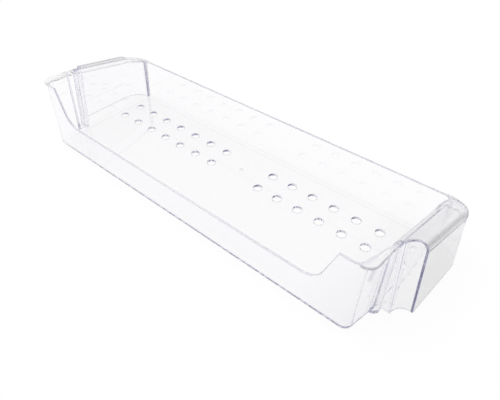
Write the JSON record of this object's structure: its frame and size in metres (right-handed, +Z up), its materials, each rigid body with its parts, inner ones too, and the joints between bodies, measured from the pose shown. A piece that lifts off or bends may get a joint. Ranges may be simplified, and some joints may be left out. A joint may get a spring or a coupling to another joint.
{
  "type": "fridge door shelf",
  "caption": "Clear moulded refrigerator door shelf: a long open tub with drain holes in its floor, a low back between raised corners and hollow clip-on wings at its ends.",
  "frame": {"origin": "centre of the bounding box in plan, on the underside of the floor", "axes": "+X along the shelf, +Y from the refrigerator door to the shelf's front wall, +Z up"},
  "size_m": [0.446, 0.144, 0.078],
  "materials": {
    "clear_plastic": "clear, glossy, with a faint violet cast in its edges"
  },
  "bodies": {
    "root": {"door_shelf": "clear_plastic"}
  },
  "joints": []
}
